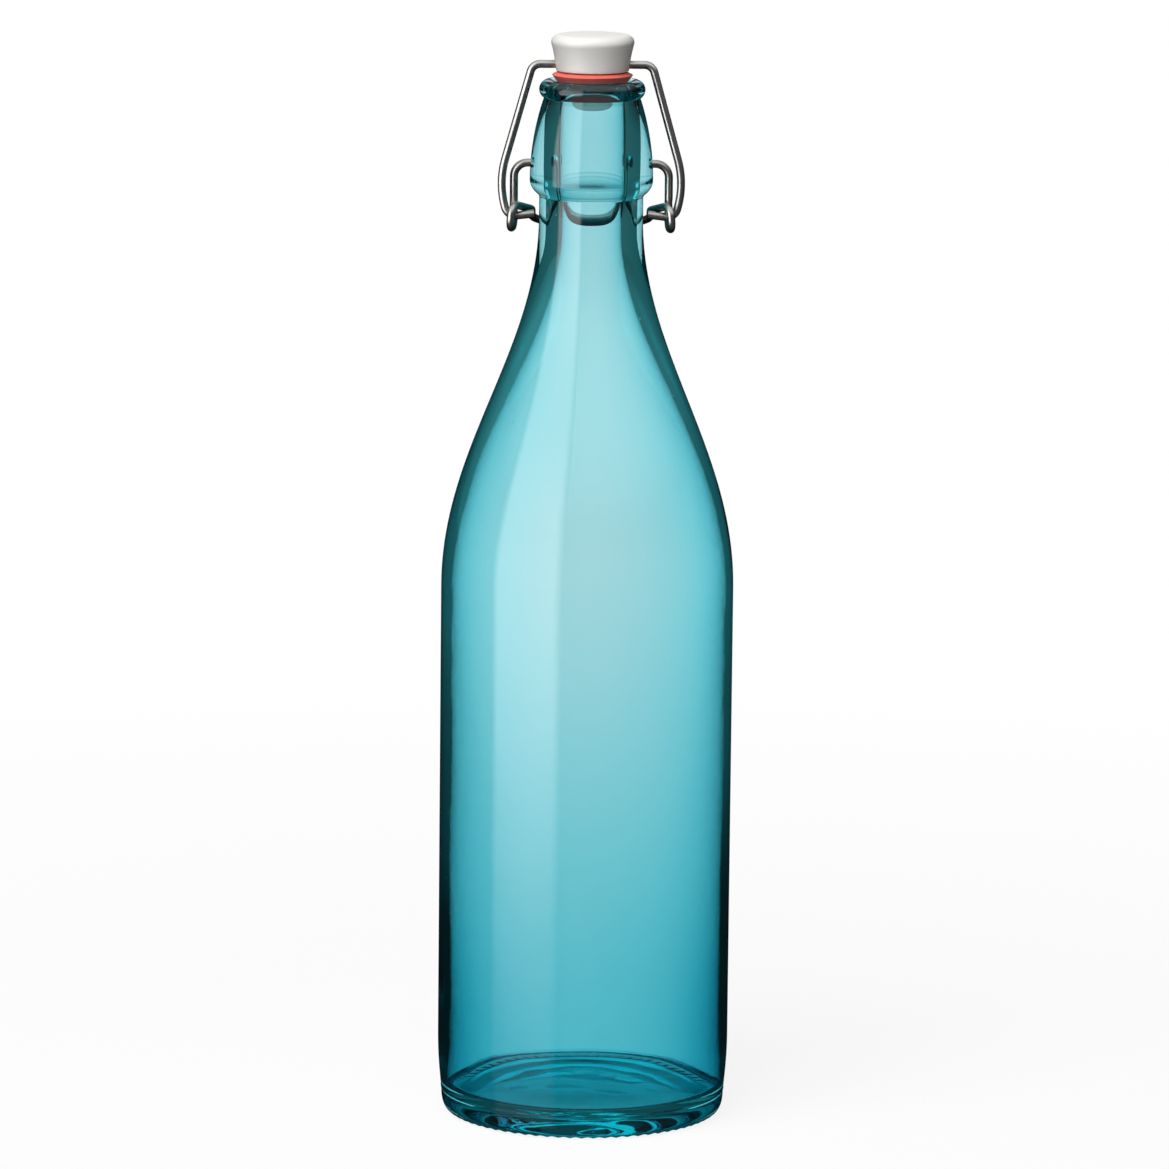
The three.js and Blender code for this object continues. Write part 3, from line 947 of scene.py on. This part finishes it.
def make_world():
    world = bpy.data.worlds.new("studio")
    world.use_nodes = True
    tree = world.node_tree
    way = split_axes(tree, tree.nodes.new("ShaderNodeTexCoord").outputs["Generated"])
    camera, through, turned, mirrored = ray_kinds(tree)
    backdrop = backdrop_mask(tree, way["X"], way["Y"])
    steep = ramp(tree, way["Z"], *STEEP_RISE, 1.0, STEEP_GLOW, "SMOOTHSTEP")
    studio = studio_glow(tree, way, backdrop)
    inside = math_node(tree, "ADD", turned_glow(tree, way, backdrop), studio)
    shown = weigh(tree, (camera, 1.0), (through, 1.0), (turned, 1.0), (mirrored, 1.0))
    rest = math_node(tree, "SUBTRACT", 1.0, shown, clamp=True)
    strength = weigh(
        tree, (camera, 1.0), (through, steep), (turned, inside), (mirrored, studio), (rest, AMBIENT),
    )
    tree.links.new(strength, tree.nodes["Background"].inputs["Strength"])
    tree.nodes["Background"].inputs["Color"].default_value = (1, 1, 1, 1)
    bpy.context.scene.world = world


def floor_glow(tree, spot, out):
    """The floor's glow for plain rays, with a painted shadow under the bottle, and for rays turned inside
    the glass, with a painted shade near the bottle.
    """
    # Painted shadow under the bottle, darkest in the middle
    painted_shadow = ramp(tree, out, 0.0, RING_IN, PAINTED_SHADOW_MIDDLE_GLOW, PAINTED_SHADOW_EDGE_GLOW, "SMOOTHSTEP")
    plain_glow = ramp(tree, out, RING_IN, RING_OUT, painted_shadow, 1.0, "SMOOTHSTEP")
    near = ramp(tree, out, *TURNED_NEAR_REACH, TURNED_BEHIND_GLOW, 0.0)
    behind = math_node(tree, "MULTIPLY", backdrop_mask(tree, spot["X"], spot["Y"]), near)
    # Painted shade on the floor near the bottle, for rays turned inside the glass
    aside = ramp(tree, out, *TURNED_NEAR_REACH, TURNED_NEAR_SHADE_GLOW, TURNED_FLOOR_GLOW)
    around = math_node(tree, "MAXIMUM", behind, aside)
    return plain_glow, ramp(tree, out, RING_IN, RING_OUT, TURNED_UNDER_GLOW, around, "SMOOTHSTEP")


def make_floor():
    bm = bmesh.new()
    bmesh.ops.create_grid(bm, x_segments=1, y_segments=1, size=FLOOR_SIZE / 2)
    floor = mesh_object("floor", bm)
    material, tree, spot = bare_material("pale_floor")
    camera, through, turned, _ = ray_kinds(tree)
    out = math_node(tree, "SQRT", weigh(tree, (spot["X"], spot["X"]), (spot["Y"], spot["Y"])))
    plain_glow, inside_glow = floor_glow(tree, spot, out)
    plain = math_node(tree, "ADD", camera, through)
    strength = weigh(tree, (plain, plain_glow), (turned, inside_glow))
    glow = add_node(tree, "ShaderNodeEmission", {"Color": (1, 1, 1, 1), "Strength": strength})
    paper = add_node(tree, "ShaderNodeBsdfDiffuse", {"Color": blend(tree, camera, PAPER, SEEN_PAPER)})
    white = ramp(tree, out, *FLOOR_SHADOW_REACH, FLOOR_WHITE, 1.0)
    share = weigh(tree, (camera, white), (through, FLOOR_WHITE_THROUGH), (turned, 1.0))
    show(tree, add_node(tree, "ShaderNodeMixShader", {0: share, 1: paper.outputs[0], 2: glow.outputs[0]}))
    floor.data.materials.append(material)
    floor.visible_glossy = False


def make_softbox(name, near, far):
    """An upright softbox between two places on the floor plan, seen in reflections alone."""
    low, high = SOFTBOX_HEIGHTS
    bm = bmesh.new()
    corners = [(*near, low), (*far, low), (*far, high), (*near, high)]
    bm.faces.new([bm.verts.new(corner) for corner in corners])
    softbox = mesh_object(name, bm)
    material, tree, spot = bare_material(name)
    below = ramp(tree, spot["Z"], *SOFTBOX_LOW_FADE, SOFTBOX_LOW_SHARE, 1.0, "SMOOTHSTEP")
    above = ramp(tree, spot["Z"], *SOFTBOX_HIGH_FADE, 1.0, SOFTBOX_HIGH_SHARE, "SMOOTHSTEP")
    fade = math_node(tree, "MULTIPLY", below, above)
    for edge, inside in ((near[0], near[0] - SOFTBOX_EDGE), (far[0], far[0] + SOFTBOX_EDGE)):
        side = ramp(tree, spot["X"], edge, inside, 0.0, 1.0, "SMOOTHSTEP")
        fade = math_node(tree, "MULTIPLY", fade, side)
    level = math_node(tree, "MULTIPLY", fade, SOFTBOX_GLOW)
    show(tree, add_node(tree, "ShaderNodeEmission", {"Color": (1, 1, 1, 1), "Strength": level}))
    softbox.data.materials.append(material)
    softbox.visible_camera = False
    softbox.visible_transmission = False
    softbox.visible_diffuse = False
    softbox.visible_shadow = False


def make_lights():
    def on_plan(degrees_left):
        turn = math.radians(degrees_left)
        return -math.sin(turn) * SOFTBOX_DISTANCE, -math.cos(turn) * SOFTBOX_DISTANCE

    make_softbox("left_softbox", *[on_plan(degrees_left) for degrees_left in SOFTBOX_DEGREES_LEFT])
    lamp = bpy.data.lights.new("overhead_softbox", "AREA")
    lamp.shape = "RECTANGLE"
    lamp.size = LAMP_SIZE
    lamp.size_y = LAMP_SIZE
    lamp.energy = LAMP_ENERGY
    overhead = bpy.data.objects.new("overhead_softbox", lamp)
    overhead.location = LAMP_PLACE
    overhead.rotation_mode = "QUATERNION"
    overhead.rotation_quaternion = (CROSS_HOLE - LAMP_PLACE).to_track_quat("-Z", "Y")
    overhead.visible_camera = False
    overhead.visible_transmission = False
    overhead.visible_glossy = False
    bpy.context.scene.collection.objects.link(overhead)


def let_light_bounce():
    """Light crosses the thick foot many times before it leaves."""
    cycles = bpy.context.scene.cycles
    cycles.max_bounces = MOST_BOUNCES
    cycles.glossy_bounces = MOST_BOUNCES
    cycles.transmission_bounces = MOST_BOUNCES


def make_camera():
    lens = bpy.data.cameras.new("photo_camera")
    lens.sensor_width = 36
    lens.lens = CAMERA_LENS
    camera = bpy.data.objects.new("photo_camera", lens)
    aim = (CAMERA_AIM - CAMERA_PLACE).to_track_quat("-Z", "Y")
    camera.rotation_mode = "QUATERNION"
    camera.rotation_quaternion = aim @ Quaternion((0, 0, 1), math.radians(CAMERA_ROLL))
    camera.location = CAMERA_PLACE
    bpy.context.scene.collection.objects.link(camera)
    bpy.context.scene.camera = camera


make_camera()
make_world()
make_floor()
make_lights()
let_light_bounce()
bpy.context.scene.view_settings.view_transform = "Standard"

steel = drawn_steel()
dress(make_bottle(), [lacquered_glass(), clear_glass()], "glass_bottle", "bottle")
dress(make_lever(), [steel], "lever_wire", "lever")
dress(make_bail(), [steel], "bail_wire", "bail")
dress(make_stopper(), [white_moulding()], "stopper", "plug")
dress(make_gasket(), [red_rubber()], "gasket", "plug")
